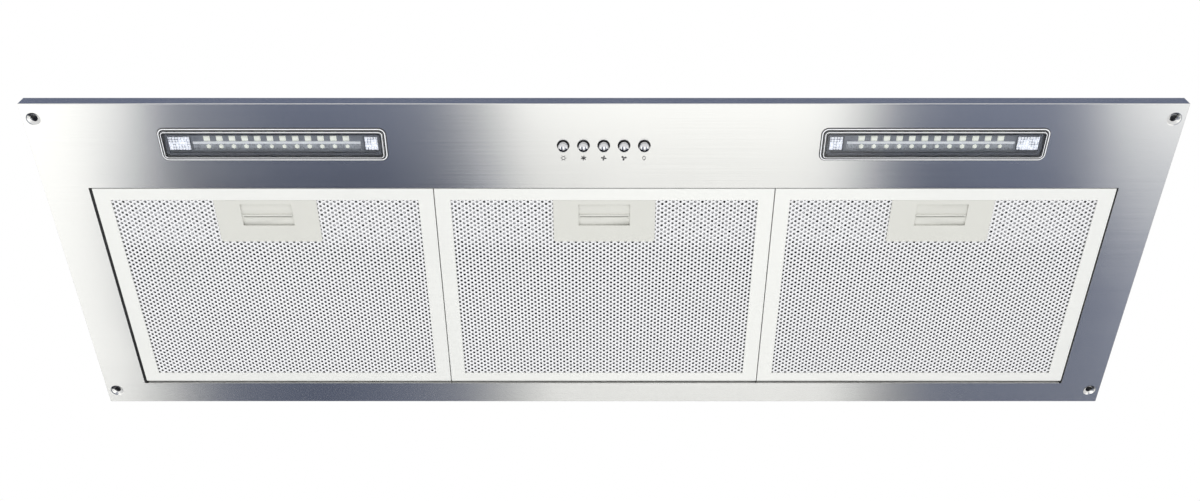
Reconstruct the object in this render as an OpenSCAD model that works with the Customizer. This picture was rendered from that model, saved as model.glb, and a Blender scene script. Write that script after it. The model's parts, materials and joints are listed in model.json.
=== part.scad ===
// Under-cabinet range hood: a stainless fascia with three hinged grease filters, two LED
// strip lamps and five push buttons, under a plenum tray and a double-inlet blower.
// The origin is the centre of the four corner screw holes, on the fascia's lower face.
// +X runs along the front edge, +Y runs to the wall, +Z runs up into the cabinet.

/* [Fascia] */
// Width of the fascia along the front edge
face_w = 860; // [850:1:880]
// Depth of the fascia from front edge to wall
face_d = 285; // [284:1:300]
// Thickness of the stainless sheet
sheet_t = 1; // [0.8:0.1:1.2]
// Height of the upturned rim
rim_h = 10; // [8:0.5:14]
// Depth of the plain strip in front of the filters
front_strip = 71; // [70.8:0.1:72]
// Width of the filter opening
opening_w = 791; // [790:0.5:794]
// Depth of the filter opening
opening_d = 193.5; // [193:0.5:195]
// Height of the upturned flange round the filter opening
flange_h = 9; // [8:0.5:9]

/* [Corner screws] */
// Distance of a corner hole from the side edge
screw_inset_x = 8.5; // [8:0.5:10]
// Distance of a corner hole from the front or rear edge
screw_inset_y = 12.5; // [11:0.5:14]
// Radius of a corner screw hole
screw_hole_r = 2.5; // [2:0.1:2.8]
// Radius of the pressed dimple round a corner hole
dimple_r = 5.5; // [4.5:0.1:6]

/* [Filters] */
// Width of one grease filter
filter_w = 262; // [260:0.5:262]
// Depth of one grease filter
filter_d = 192; // [191.5:0.1:192.1]
// Thickness of one grease filter
filter_h = 9; // [9:0.1:9.5]
// Distance between filter centres
filter_pitch = 262.8; // [262.6:0.1:263]
// Sideways offset of the filter row in its opening
filter_shift = 0.5; // [0:0.1:0.8]
// Height of the filters' lower faces above the fascia's lower face
filter_recess = 0.3; // [0.2:0.1:0.5]
// Width of the frame border at the sides of the perforated sheet
border_x = 12; // [11:0.5:13]
// Width of the frame border at the front and rear of the perforated sheet
border_y = 10.2; // [10:0.1:10.8]
// Radius of the rolled rear edge that each filter swings on
hinge_r = 3; // [2.5:0.1:3]

/* [Filter latches] */
// Width of a latch plate
latch_w = 79.5; // [78:0.5:84]
// Depth of a latch plate
latch_d = 37.7; // [37:0.1:39]
// Width of the finger window in a latch plate
window_w = 40; // [36:1:42]
// Depth of the finger window in a latch plate
window_d = 19.2; // [18:0.1:20]
// Travel of a latch slider
latch_travel = 5; // [4:0.5:5]

/* [Lamps] */
// Length of a lamp lens
lamp_w = 170; // [166:1:174]
// Depth of a lamp lens
lamp_d = 26.6; // [26:0.1:28]
// Distance of each lamp's centre from the middle of the hood
lamp_x = 247.5; // [244:0.5:258]
// Distance of a lamp lens from the front edge
lamp_front = 20.1; // [19.8:0.1:21]
// Number of LEDs in each of a lamp's two rows
led_count = 12; // [8:1:14]
// Distance between LEDs along a row
led_pitch = 9.5; // [9:0.01:9.8]
// Distance between a lamp's two rows of LEDs
led_row_gap = 7; // [6:0.5:8]
// Distance of the LEDs from the lamp's centre, toward the middle of the hood
led_shift = 1.8; // [0:0.1:3]

/* [Push buttons] */
// Distance between button centres
button_pitch = 15.2; // [15:0.1:15.4]
// Distance of the buttons from the front edge
button_front = 34.4; // [34:0.1:36]
// Radius of a button cap
button_r = 3.8; // [3.4:0.1:3.8]
// Distance that a button stands below the fascia
button_out = 5.5; // [4:0.1:6]
// Radius of a button hole in the fascia
button_hole_r = 4.75; // [4.7:0.05:4.8]

/* [Casing] */
// Width of the lower casing
tray_w = 820; // [816:1:822]
// Distance of the lower casing's front wall from the front edge
tray_front = 17; // [16:0.5:17.5]
// Height of the lower casing's top above the fascia's lower face
tray_top = 36; // [36:1:37]
// Thickness of the casing sheet
casing_t = 1; // [0.8:0.1:1]
// Width of the upper casing
tower_w = 440; // [436:1:460]
// Distance of the upper casing's front wall from the front edge
tower_front = 85; // [84:0.5:85]
// Height of the upper casing's top above the fascia's lower face
tower_top = 180; // [180:1:184]
// Distance of both casings' rear walls from the rear edge
casing_rear = 13; // [12:0.5:13.5]

/* [Duct collar] */
// Outside radius of the duct collar
collar_r = 74.5; // [74:0.1:75]
// Height of the duct collar above the upper casing
collar_h = 46; // [40:1:50]
// Distance of the duct collar's axis behind the middle of the hood
collar_y = 45; // [44:0.5:45]

/* [Blower] */
// Outside radius of the impeller
impeller_r = 44; // [42:0.5:44]
// Width of the impeller
impeller_w = 80; // [76:1:80]
// Number of impeller blades
blade_count = 32; // [20:1:40]
// Radius of the motor shaft
shaft_r = 4; // [3:0.5:4]
// Radius of the motor body
motor_r = 36; // [32:1:38]

/* [Hidden] */

$fn = 48;
cut = 1;                                // how far a cutting shape passes a face
SIDES = [-1, 1];

// Fascia
front = -face_d / 2;
opening_front = front + front_strip;
opening_rear = opening_front + opening_d;
screw_x = face_w / 2 - screw_inset_x;
screw_y = face_d / 2 - screw_inset_y;
dimple_h = 1.6;

// Filters
filter_front = opening_front + 0.8;
filter_rear = filter_front + filter_d;
filter_z = filter_recess;
filter_top = filter_z + filter_h;
hinge_y = filter_rear - hinge_r;
hinge_z = filter_z + hinge_r;
tab_x = 80;
tab_w = 18;
tab_z = 6;
function filter_x(i) = filter_shift + (i - 1) * filter_pitch;

// Latches
latch_front = filter_front + border_y + 0.1;
window_front = latch_front + 3.8;
slider_half = 23;
slider_z = filter_z + 1.2;
slider_rear = latch_front + 24.5;
spring_seat_y = slider_rear + 2 * latch_travel + 0.5;
spring_r = 1.65;
tongue_z = 5.6;
tongue_tip = opening_front + 0.3;
tongue_half = 15;
notch_half = 22;

// Lamps
lamp_y = front + lamp_front + lamp_d / 2;
lens_hole = [lamp_w - 5, lamp_d - 5];

// Buttons
button_y = front + button_front;
guide_top = 8;
switch_z = 16;
stud_x = 45;
function button_x(i) = (i - 2) * button_pitch;

// Casing
tray_y0 = front + tray_front;
case_y1 = face_d / 2 - casing_rear;
tower_y0 = front + tower_front;
tower_hole = [205, 117];
gland_at = [-105, front + 41.5];
gland_r = 8;
NUTS = concat(
    [for (s = SIDES, y = [-70, 70]) [s * (tray_w / 2 + 4.5), y]],
    [for (x = [-340, 0, 340]) [x, tray_y0 - 4.5]],
    [for (x = [-340, 0, 340]) [x, case_y1 + 4.5]]
);
TOWER_SCREWS = concat(
    [for (x = [-150, 0, 150]) [x, tower_y0 - 5]],
    [for (s = SIDES, y = [0, 90]) [s * (tower_w / 2 + 5), y]]
);

// Blower
axle_y = 2;
axle_z = 104;
scroll_t = 1.2;
scroll_half = 46;
scroll_top = tower_top - casing_t;
scroll_small_r = 50;
scroll_grow = 18;
scroll_end = 300;                       // angle where the spiral meets the outlet
outlet_front = 26;
inlet_r = 34;
leg_r = 46;
bracket_x = scroll_half + 16;
LEG_ANGLES = [30, 150, 270];
OUTLET_SCREWS = [for (s = SIDES, y = [20, 76]) [s * 52, y]];

// Damper
flap_z = tower_top + 16;
flap_r = 70;
flap_gap = 3;
flap_pin_r = 1.5;
COLLAR_SCREWS = [for (a = [45:90:315]) [79 * cos(a), collar_y + 79 * sin(a)]];

module block(from, to) {
    translate(from) cube(to - from);
}

module rounded_block(size, r, z0, z1) {
    translate([0, 0, z0]) linear_extrude(z1 - z0) {
        square([size.x - 2 * r, size.y], center = true);
        square([size.x, size.y - 2 * r], center = true);
        for (sx = SIDES, sy = SIDES)
            translate([sx * (size.x / 2 - r), sy * (size.y / 2 - r)]) circle(r);
    }
}

// A rod along Z from z0 to z1
module rod(at, r, z0, z1) {
    translate([at.x, at.y, z0]) cylinder(r = r, h = z1 - z0);
}

// A rod along X from x0 to x1, where at holds its Y and Z
module rod_x(at, r, x0, x1) {
    translate([x0, at.x, at.y]) rotate([0, 90, 0]) cylinder(r = r, h = x1 - x0);
}

// A nut on a stud of radius r, lying on z0
module nut(at, r, z0) {
    translate([at.x, at.y, z0]) difference() {
        cylinder(r = 2 * r, h = 1.6 * r, $fn = 6);
        translate([0, 0, -cut]) cylinder(r = r, h = 1.6 * r + 2 * cut);
    }
}

// A pan-head screw driven down to z0
module pan_screw(at, z0, length) {
    difference() {
        union() {
            rod(at, 3.2, z0, z0 + 2);
            rod(at, 1.5, z0 - length, z0 + cut);
        }
        for (turn = [0, 90]) translate([at.x, at.y, z0 + 2]) rotate([0, 0, turn])
            cube([3.6, 0.8, 2], center = true);
    }
}

// A tube of radius r swept through a list of points, each ring square to the route.
// No stretch of the route runs along ref.
function unit(v) = v / norm(v);
function route_way(p, i) = unit(p[min(i + 1, len(p) - 1)] - p[max(i - 1, 0)]);
module swept_tube(p, r, sides = 8, ref = [0, 1, 0]) {
    rings = [for (i = [0:len(p) - 1])
        let (w = route_way(p, i), u = unit(cross(w, ref)), v = cross(w, u))
        for (k = [0:sides - 1]) p[i] + r * (cos(360 * k / sides) * u + sin(360 * k / sides) * v)];
    last = (len(p) - 1) * sides;
    polyhedron(rings, concat(
        [[for (k = [0:sides - 1]) k]],
        [for (i = [0:len(p) - 2], k = [0:sides - 1], half = [0, 1])
            let (n = (k + 1) % sides, a = i * sides, b = a + sides)
            half == 0 ? [a + k, b + k, b + n] : [a + k, b + n, a + n]],
        [[for (k = [sides - 1:-1:0]) last + k]]
    ));
}

// A coil spring along Z between z0 and z1
module coil(r, wire, turns, z0, z1) {
    steps = turns * 10;
    swept_tube([for (i = [0:steps])
        [r * cos(360 * turns * i / steps), r * sin(360 * turns * i / steps),
         z0 + wire + (z1 - z0 - 2 * wire) * i / steps]], wire, 5, [0, 0, 1]);
}

// ---- Fascia ----

module fascia_panel() color("silver") difference() {
    union() {
        difference() {
            block([-face_w / 2, front, 0], [face_w / 2, -front, rim_h]);
            block([sheet_t - face_w / 2, front + sheet_t, sheet_t],
                  [face_w / 2 - sheet_t, -front - sheet_t, rim_h + cut]);
        }
        block([-opening_w / 2 - sheet_t, opening_front - sheet_t, 0],
              [opening_w / 2 + sheet_t, opening_rear + sheet_t, flange_h]);
        for (sx = SIDES, sy = SIDES) translate([sx * screw_x, sy * screw_y, sheet_t])
            cylinder(r1 = dimple_r + 0.8, r2 = screw_hole_r + 1, h = dimple_h);
        for (at = NUTS) rod(at, 2, 0, 7);
        for (s = SIDES) rod([s * stud_x, button_y], 1.5, 0, 7);
    }
    block([-opening_w / 2, opening_front, -cut], [opening_w / 2, opening_rear, flange_h + cut]);
    for (sx = SIDES, sy = SIDES) translate([sx * screw_x, sy * screw_y, 0]) {
        cylinder(r1 = dimple_r, r2 = screw_hole_r, h = dimple_h);
        translate([0, 0, -cut]) cylinder(r = screw_hole_r, h = 5);
    }
    for (s = SIDES) translate([s * lamp_x, lamp_y, 0]) rounded_block(lens_hole, 3, -cut, 3);
    for (i = [0:4]) rod([button_x(i), button_y], button_hole_r, -cut, 3);
    for (i = [0:2]) {
        translate([filter_x(i), 0, 0])
            block([-11, opening_front - 2, 2.4], [11, opening_front + 1, 6.4]);
        for (s = SIDES) translate([filter_x(i) + s * tab_x, 0, 0])
            block([-12, opening_rear - 1, tab_z - 0.4], [12, opening_rear + 2, flange_h + cut]);
    }
}

// Spacer tubes round the corner screws, so that the screws can't bow the fascia
module screw_sleeves() color("black") for (sx = SIDES, sy = SIDES)
    translate([sx * screw_x, sy * screw_y, sheet_t + dimple_h]) difference() {
        cylinder(r = screw_hole_r + 2, h = rim_h - sheet_t - dimple_h);
        translate([0, 0, -cut]) cylinder(r = screw_hole_r + 0.3, h = rim_h);
    }

// Bent leaf clips whose noses stand under the latch tongues
module latch_strikes() color("lightsteelblue") for (i = [0:2])
    translate([filter_x(i) - 10, opening_front, 0]) rotate([90, 0, 90]) linear_extrude(20)
        polygon([
            [-1.7, 8.8], [-1, 8.8], [-1, 5.2], [2.9, 4.9], [3, 4.4],
            [-0.8, 3], [-1, 3.5], [2.1, 4.5], [-1.7, 4.8]
        ]);

// ---- Casing ----

module lower_casing() color("gainsboro") difference() {
    union() {
        block([-tray_w / 2, tray_y0, sheet_t], [tray_w / 2, case_y1, tray_top]);
        block([-380, tray_y0 - 9, sheet_t], [380, case_y1 + 9, sheet_t + casing_t]);
        block([-tray_w / 2 - 9, -100, sheet_t], [tray_w / 2 + 9, 100, sheet_t + casing_t]);
    }
    block([casing_t - tray_w / 2, tray_y0 + casing_t, -cut],
          [tray_w / 2 - casing_t, case_y1 - casing_t, tray_top - casing_t]);
    block([-tower_hole.x, -45, 0], [tower_hole.x, tower_hole.y, tray_top + cut]);
    rod(gland_at, gland_r + 0.1, tray_top - 5, tray_top + cut);
    for (at = NUTS) rod(at, 2.2, 0, 5);
    for (at = TOWER_SCREWS) rod(at, 1.6, tray_top - 5, tray_top + cut);
}

module upper_casing() color("lightgray") difference() {
    union() {
        block([-tower_w / 2, tower_y0, tray_top], [tower_w / 2, case_y1, tower_top]);
        block([-tower_w / 2 - 10, tower_y0 - 10, tray_top],
              [tower_w / 2 + 10, case_y1, tray_top + casing_t]);
    }
    block([casing_t - tower_w / 2, tower_y0 + casing_t, tray_top - cut],
          [tower_w / 2 - casing_t, case_y1 - casing_t, tower_top - casing_t]);
    block([-scroll_half, outlet_front, tower_top - 5], [scroll_half, axle_y + 68, tower_top + cut]);
    for (at = TOWER_SCREWS) rod(at, 1.6, tray_top - cut, tray_top + 5);
    for (at = COLLAR_SCREWS) rod(at, 1.6, tower_top - 5, tower_top + cut);
    for (at = OUTLET_SCREWS) rod(at, 1.6, tower_top - 5, tower_top + cut);
}

// Sheet that parts the wiring bay from the plenum over the filters
module bay_partition() color("darkgray") difference() {
    union() {
        block([casing_t - tray_w / 2, opening_front - 6.5, 9],
              [tray_w / 2 - casing_t, opening_front - 5.5, tray_top - casing_t]);
        block([casing_t - tray_w / 2, opening_front - 10, tray_top - 2 * casing_t],
              [tray_w / 2 - casing_t, opening_front - 5.5, tray_top - casing_t]);
    }
    translate([-50, opening_front, 24]) rotate([90, 0, 0]) cylinder(r = 5, h = 20);
}

// Nuts of the lower casing and of the switch, on the fascia's studs
module stud_nuts() color("silver") {
    for (at = NUTS) nut(at, 2, sheet_t + casing_t);
    for (s = SIDES) nut([s * stud_x, button_y], 1.5, 3);
}

module casing_screws() color("silver")
    for (at = TOWER_SCREWS) pan_screw(at, tray_top + casing_t, 6);

// ---- Lamps ----

module lamp_housing(side) color("whitesmoke") translate([side * lamp_x, lamp_y, 0]) {
    difference() {
        rounded_block([lamp_w + 6, lamp_d + 4], 4, sheet_t, 14);
        rounded_block([lamp_w + 3.6, lamp_d + 1.6], 3, 0, 12.8);
    }
    for (s = SIDES) rod([s * 70, 0], 3, 5.2, 13);
}

module lamp_board(side) color("white") translate([side * lamp_x, lamp_y, 0])
    block([4 - lamp_w / 2, -8, 4], [lamp_w / 2 - 4, 8, 5.2]);

module lamp_leds(side) color("lightyellow")
    for (i = [0:led_count - 1], row = SIDES)
        translate([side * (lamp_x - led_shift) + (i - (led_count - 1) / 2) * led_pitch,
                   lamp_y + row * led_row_gap / 2, 0])
            block([-1.75, -1.4, 3], [1.75, 1.4, 4]);

module lamp_lens(side) color([0.8, 0.85, 0.9, 0.5]) translate([side * lamp_x, lamp_y, 0])
    difference() {
        union() {
            rounded_block([lamp_w, lamp_d], 5, -0.8, 0);
            rounded_block([lamp_w - 6, lamp_d - 6], 3.5, -2, -0.8);
            rounded_block(lens_hole - [0.4, 0.4], 2.8, 0, 2.2);
        }
        rounded_block(lens_hole - [3.4, 3.4], 2, -0.8, 3);
    }

// ---- Buttons and switch ----

// Black moulding whose five tubes guide the buttons
module button_guide() color("black") translate([0, button_y, 0]) difference() {
    union() {
        block([-36.5, -8, sheet_t], [36.5, 8, 2.2]);
        for (i = [0:4]) rod([button_x(i), 0], button_hole_r - 0.1, 0.3, guide_top);
    }
    for (i = [0:4]) rod([button_x(i), 0], button_r + 0.35, -cut, guide_top + cut);
}

module switch_body() color("dimgray") translate([0, button_y, 0]) difference() {
    union() {
        block([-39, -8, switch_z], [39, 8, 34]);
        for (s = SIDES) {
            block([s * 39 - 2, -8, sheet_t], [s * 39 + 2, 8, switch_z + 2]);
            block([s * stud_x - 6, -5, sheet_t], [s * stud_x + 6, 5, 3]);
        }
    }
    for (i = [0:4]) rod([button_x(i), 0], 2.35, switch_z - cut, 24.5);
    for (s = SIDES) rod([s * stud_x, 0], 1.7, 0, 4);
}

module button_springs() color("slategray")
    for (i = [0:4]) translate([button_x(i), button_y, 0])
        coil(3, 0.3, 4, guide_top + 1.6, switch_z - 0.1);

// Domed cap, retaining flange and stem
module button(i) color("gainsboro") translate([button_x(i), button_y, 0]) rotate_extrude()
    polygon(concat(
        [[0, 20], [0, -button_out]],
        [for (a = [15:15:90]) [(button_r - 1) * a / 90, -button_out + 0.5 * (1 - cos(a))]],
        [for (a = [0:18:90]) [button_r - 1 + sin(a), -button_out + 1.5 - cos(a)]],
        [[button_r, guide_top + 0.3], [5.4, guide_top + 0.3], [5.4, guide_top + 1.5],
         [2, guide_top + 1.5], [2, 20]]
    ));

// ---- Electrics ----

module lamp_driver() color("white") block([62, front + 25, 14], [150, front + 59, 35]);

module terminal_box() color("lightgray") difference() {
    block([-150, front + 23, 8], [-62, front + 60, 35]);
    block([-148, front + 25, 7], [-64, front + 58, 33]);
    rod(gland_at, gland_r + 0.1, 30, 36);
}

module terminal_cover() color("gray") union() {
    block([-150, front + 23, 6.5], [-62, front + 60, 8]);
    block([-147.8, front + 25.2, 7], [-64.2, front + 27, 10]);
}

module terminal_block() color("ivory") difference() {
    block([-90, front + 29, 19], [-67, front + 54, 33]);
    for (y = [33, 41.5, 50]) rod([-78.5, front + y], 2, 15, 28);
}

// Gland with its dome nut outside and its lock nut inside the terminal box
module cable_gland() color("dimgray") difference() {
    union() {
        rod(gland_at, gland_r, 27, 42);
        translate([gland_at.x, gland_at.y, tray_top]) cylinder(r = 11, h = 5, $fn = 6);
        translate([gland_at.x, gland_at.y, 30]) cylinder(r = 11, h = 3, $fn = 6);
        rod(gland_at, 9.4, 41, 49);
        translate([gland_at.x, gland_at.y, 49]) cylinder(r1 = 9.4, r2 = 7, h = 4);
    }
    rod(gland_at, 4.5, 20, 60);
}

module capacitor() color("ghostwhite")
    translate([-200, -20, 110]) rotate([-90, 0, 0]) cylinder(r = 15, h = 62);

module capacitor_clip() color("silver") difference() {
    union() {
        translate([-200, 4, 110]) rotate([-90, 0, 0]) cylinder(r = 16, h = 14);
        block([-219, 4, 92], [-214, 18, 128]);
    }
    translate([-200, 3, 110]) rotate([-90, 0, 0]) cylinder(r = 15, h = 16);
}

// Leads in the wiring bay, and the motor lead that goes through the partition
module wiring_harness() color("black") {
    lead_y = button_y + 4;
    for (s = SIDES) swept_tube([for (p = [[62, 23], [57, 23], [50, 24.5], [44, 26], [39, 26]])
        [s * p.x, lead_y, p.y]], 2);
    for (s = SIDES) swept_tube([for (p = [[150, 20], [155, 20], [162, 20], [168, 19.6],
                                         [171.5, 18], [172, 16.5], [172, 14]])
        [s * p.x, lead_y, p.y]], 1.5);
    swept_tube([
        [-30, -100.1, 26], [-30, -94, 26], [-34, -88, 25], [-44, -83, 24], [-50, -78, 24],
        [-50, -69, 24], [-46, -59, 25], [-30, -49, 26], [20, -42, 28], [80, -36, 30],
        [124, -28, 34], [140, -18, 48], [144, -8, 66], [143, 0, 84], [138, 3, 97],
        [131, 4, 103.5], [124, 4, 104]
    ], 2.5, 8, [1, -0.6, 0.2]);
}

// ---- Blower ----

// Spiral outline in the YZ plane, moved in by an inset all round
function scroll_outline(inset) = concat(
    [[axle_y + scroll_small_r + scroll_grow - inset, scroll_top]],
    [for (a = [0:10:scroll_end - 10])
        let (r = scroll_small_r + scroll_grow * (1 - a / scroll_end) - inset)
        [axle_y + r * cos(a), axle_z - r * sin(a)]],
    let (y = outlet_front + inset)
    [[y, axle_z + sqrt(pow(scroll_small_r - inset, 2) - pow(y - axle_y, 2))], [y, scroll_top]]
);

module along_x(x0, x1) {
    translate([x0, 0, 0]) rotate([90, 0, 90]) linear_extrude(x1 - x0) children();
}

module scroll_right() color("whitesmoke") difference() {
    union() {
        along_x(0, scroll_half) polygon(scroll_outline(0));
        block([0, 13, scroll_top - 1.5], [60, 83, scroll_top]);
    }
    along_x(-cut, scroll_half - scroll_t) polygon(scroll_outline(scroll_t));
    block([-cut, outlet_front + scroll_t, scroll_top - 10],
          [scroll_half - scroll_t, axle_y + 68 - scroll_t, scroll_top + cut]);
    rod_x([axle_y, axle_z], 38, 0, 60);
    for (a = LEG_ANGLES)
        rod_x([axle_y + leg_r * cos(a), axle_z - leg_r * sin(a)], 1.6, 10, 60);
    for (at = OUTLET_SCREWS) rod(at, 1.6, scroll_top - 8, scroll_top + cut);
}

module scroll_left() mirror([1, 0, 0]) scroll_right();

// Bell-mouth ring in each inlet
module inlet_ring(side) color("silver") translate([0, axle_y, axle_z]) rotate([0, side * 90, 0])
    translate([0, 0, scroll_half]) rotate_extrude() polygon([
        [inlet_r, -4.5], [36, -4.5], [36, 0], [41, 0], [41, 1.5], [inlet_r + 2, 1.5],
        [inlet_r + 0.6, 0.8], [inlet_r, -0.6]
    ]);

module impeller() color("lightgray") translate([0, axle_y, axle_z]) rotate([0, 90, 0])
    difference() {
        union() {
            translate([0, 0, -1]) cylinder(r = impeller_r - 1, h = 2);
            translate([0, 0, -12]) cylinder(r = 9, h = 24);
            for (z = [-impeller_w / 2, impeller_w / 2 - 2]) translate([0, 0, z]) difference() {
                cylinder(r = impeller_r, h = 2);
                translate([0, 0, -cut]) cylinder(r = impeller_r - 7, h = 4);
            }
            for (i = [0:blade_count - 1]) rotate([0, 0, 360 * i / blade_count])
                translate([impeller_r - 6.5, 0, 0]) rotate([0, 0, 35])
                    translate([0, -0.5, -impeller_w / 2]) cube([6.5, 1, impeller_w]);
        }
        translate([0, 0, -20]) cylinder(r = shaft_r, h = 40);
    }

module motor_shaft() color("silver") rod_x([axle_y, axle_z], shaft_r, -24, bracket_x + 58);

module motor_body() color("darkgray") difference() {
    union() {
        rod_x([axle_y, axle_z], motor_r, bracket_x + 2, bracket_x + 54);
        rod_x([axle_y, axle_z], motor_r - 13, bracket_x + 53, bracket_x + 62);
    }
    rod_x([axle_y, axle_z], shaft_r + 0.05, bracket_x, bracket_x + 59);
}

module motor_bracket() color("silver") difference() {
    union() {
        rod_x([axle_y, axle_z], 26, bracket_x, bracket_x + 2);
        for (a = LEG_ANGLES) {
            translate([bracket_x, axle_y, axle_z]) rotate([-a, 0, 0])
                block([0, 0, -5], [2, leg_r + 5, 5]);
            rod_x([axle_y + leg_r * cos(a), axle_z - leg_r * sin(a)], 4, scroll_half, bracket_x + 1);
        }
    }
    rod_x([axle_y, axle_z], 12, bracket_x - cut, bracket_x + 3);
    for (a = LEG_ANGLES)
        rod_x([axle_y + leg_r * cos(a), axle_z - leg_r * sin(a)], 1.6, 40, bracket_x + 3);
}

module blower_screws() color("silver") {
    for (at = OUTLET_SCREWS) pan_screw(at, tower_top, 6);
    for (a = LEG_ANGLES) translate([0, axle_y + leg_r * cos(a), axle_z - leg_r * sin(a)])
        rotate([0, 90, 0]) pan_screw([0, 0], bracket_x + 2, 20);
}

// ---- Duct collar and back-draught flaps ----

module duct_collar() color("gainsboro") difference() {
    union() {
        rod([0, collar_y], 84, tower_top, tower_top + 1.5);
        rod([0, collar_y], collar_r, tower_top, tower_top + collar_h);
    }
    difference() {
        rod([0, collar_y], collar_r - 1, tower_top - cut, tower_top + collar_h + cut);
        difference() {
            rod([0, collar_y], collar_r, flap_z - 4, flap_z - 2.5);
            rod([0, collar_y], 68, flap_z - 5, flap_z);
        }
    }
    for (s = SIDES) rod_x([collar_y + s * flap_gap, flap_z], flap_pin_r + 0.05, -80, 80);
    for (at = COLLAR_SCREWS) rod(at, 1.6, tower_top - cut, tower_top + 5);
}

module collar_screws() color("silver")
    for (at = COLLAR_SCREWS) pan_screw(at, tower_top + 1.5, 6);

// Half-round flap with its barrel and end pins, on the wall's side for side = 1
module damper_flap(side) color("gray") {
    translate([0, collar_y + side * flap_gap, flap_z]) {
        difference() {
            translate([0, 0, -1.9]) cylinder(r = flap_r - flap_gap, h = 1.2);
            block([-80, side > 0 ? -80 : 0, -3], [80, side > 0 ? 0 : 80, 3]);
        }
    }
    rod_x([collar_y + side * flap_gap, flap_z], 2, -71.5, 71.5);
    rod_x([collar_y + side * flap_gap, flap_z], flap_pin_r, -74.2, 74.2);
}

// ---- Grease filters ----

// Channel frame, with hooks behind it and a notch in front for the strike
module filter_frame(i) color("whitesmoke") translate([filter_x(i), 0, 0]) difference() {
    union() {
        difference() {
            block([-filter_w / 2, filter_front, filter_z], [filter_w / 2, filter_rear, filter_top]);
            block([-filter_w, hinge_y, filter_z - cut], [filter_w, filter_rear + cut, hinge_z]);
        }
        rod_x([hinge_y, hinge_z], hinge_r, -filter_w / 2, filter_w / 2);
        for (s = SIDES) translate([s * tab_x, 0, 0])
            block([-tab_w / 2, filter_rear - 1, tab_z], [tab_w / 2, filter_rear + 4.7, tab_z + 1.5]);
    }
    block([1 - filter_w / 2, filter_front + 1, filter_z + 1],
          [filter_w / 2 - 1, hinge_y, filter_top - 1]);
    block([border_x - filter_w / 2, filter_front + border_y, filter_z - cut],
          [filter_w / 2 - border_x, filter_rear - border_y, filter_top + cut]);
    block([-notch_half, filter_front - cut, 2.4], [notch_half, filter_front + 3.2, filter_top + cut]);
}

// Perforated sheets with the mesh layers between them, cut out for the latch
module filter_mesh(i) color("white") translate([filter_x(i), 0, 0]) difference() {
    block([1.2 - filter_w / 2, filter_front + 1.2, filter_z + 1],
          [filter_w / 2 - 1.2, hinge_y - 0.2, filter_top - 1]);
    block([1 - latch_w / 2, filter_front, filter_z], [latch_w / 2 - 1, latch_front + latch_d - 1, 8]);
    block([-notch_half, filter_front, filter_z], [notch_half, filter_front + 4, filter_top]);
}

// Plate with the finger window, the slider's guides and the spring's back stop
module latch_plate(i) color("linen") translate([filter_x(i), latch_front, 0]) difference() {
    union() {
        translate([0, latch_d / 2, 0]) rounded_block([latch_w, latch_d], 2, filter_z, filter_z + 1);
        block([-latch_w / 2, 0, filter_z], [latch_w / 2, 3, filter_z + 1]);
        for (s = SIDES) {
            block([s * 36 - 0.75, 1, filter_z], [s * 36 + 0.75, latch_d - 2, 7.4]);
            block([s * 24 - 0.75, 1, filter_z], [s * 24 + 0.75, 31, 4.4]);
            block([s * 23.2 - 1.5, 8, 3.2], [s * 23.2 + 1.5, 28, 4.4]);
        }
        block([-36.7, spring_seat_y - latch_front, filter_z], [36.7, latch_d - 1.2, 7.4]);
    }
    block([-window_w / 2, window_front - latch_front, filter_z - cut],
          [window_w / 2, window_front - latch_front + window_d, filter_z + 1.05]);
}

// Sliding floor with the finger rib under it and the tongue in front
module latch_slider(i) color("linen") translate([filter_x(i), 0, 0]) {
    block([-slider_half, latch_front - 1.8, slider_z], [slider_half, slider_rear, slider_z + 1.2]);
    block([-19.5, window_front + 9.4, 0.5], [19.5, window_front + 10.8, slider_z + 0.5]);
    block([-tongue_half, latch_front + 0.6, slider_z], [tongue_half, latch_front + 2.6, tongue_z + 1.5]);
    block([-tongue_half, tongue_tip, tongue_z], [tongue_half, latch_front + 2, tongue_z + 1.5]);
    block([-6, slider_rear - 1.4, slider_z], [6, slider_rear, 6.6]);
}

module latch_spring(i) color("slategray")
    translate([filter_x(i), 0, 4.9]) rotate([-90, 0, 0])
        coil(spring_r, 0.3, 5, slider_rear + 0.05, spring_seat_y - 0.05);

fascia_panel();
lower_casing();
upper_casing();
bay_partition();
screw_sleeves();
stud_nuts();
casing_screws();
latch_strikes();
lamp_housing(-1);  // lamp_housing_left
lamp_housing(1);  // lamp_housing_right
lamp_board(-1);  // lamp_board_left
lamp_board(1);  // lamp_board_right
lamp_leds(-1);  // lamp_leds_left
lamp_leds(1);  // lamp_leds_right
lamp_lens(-1);  // lamp_lens_left
lamp_lens(1);  // lamp_lens_right
button_guide();
switch_body();
button_springs();
lamp_driver();
terminal_box();
terminal_cover();
terminal_block();
cable_gland();
capacitor();
capacitor_clip();
wiring_harness();
scroll_left();
scroll_right();
inlet_ring(-1);  // inlet_ring_left
inlet_ring(1);  // inlet_ring_right
motor_body();
motor_bracket();
blower_screws();
duct_collar();
collar_screws();
impeller();
motor_shaft();
damper_flap(-1);  // damper_flap_front
damper_flap(1);  // damper_flap_rear
button(0);  // button_light
button(1);  // button_high
button(2);  // button_medium
button(3);  // button_low
button(4);  // button_off
filter_frame(0);  // filter_frame_left
filter_frame(1);  // filter_frame_centre
filter_frame(2);  // filter_frame_right
filter_mesh(0);  // filter_mesh_left
filter_mesh(1);  // filter_mesh_centre
filter_mesh(2);  // filter_mesh_right
latch_plate(0);  // latch_plate_left
latch_plate(1);  // latch_plate_centre
latch_plate(2);  // latch_plate_right
latch_slider(0);  // latch_slider_left
latch_slider(1);  // latch_slider_centre
latch_slider(2);  // latch_slider_right
latch_spring(0);  // latch_spring_left
latch_spring(1);  // latch_spring_centre
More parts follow.
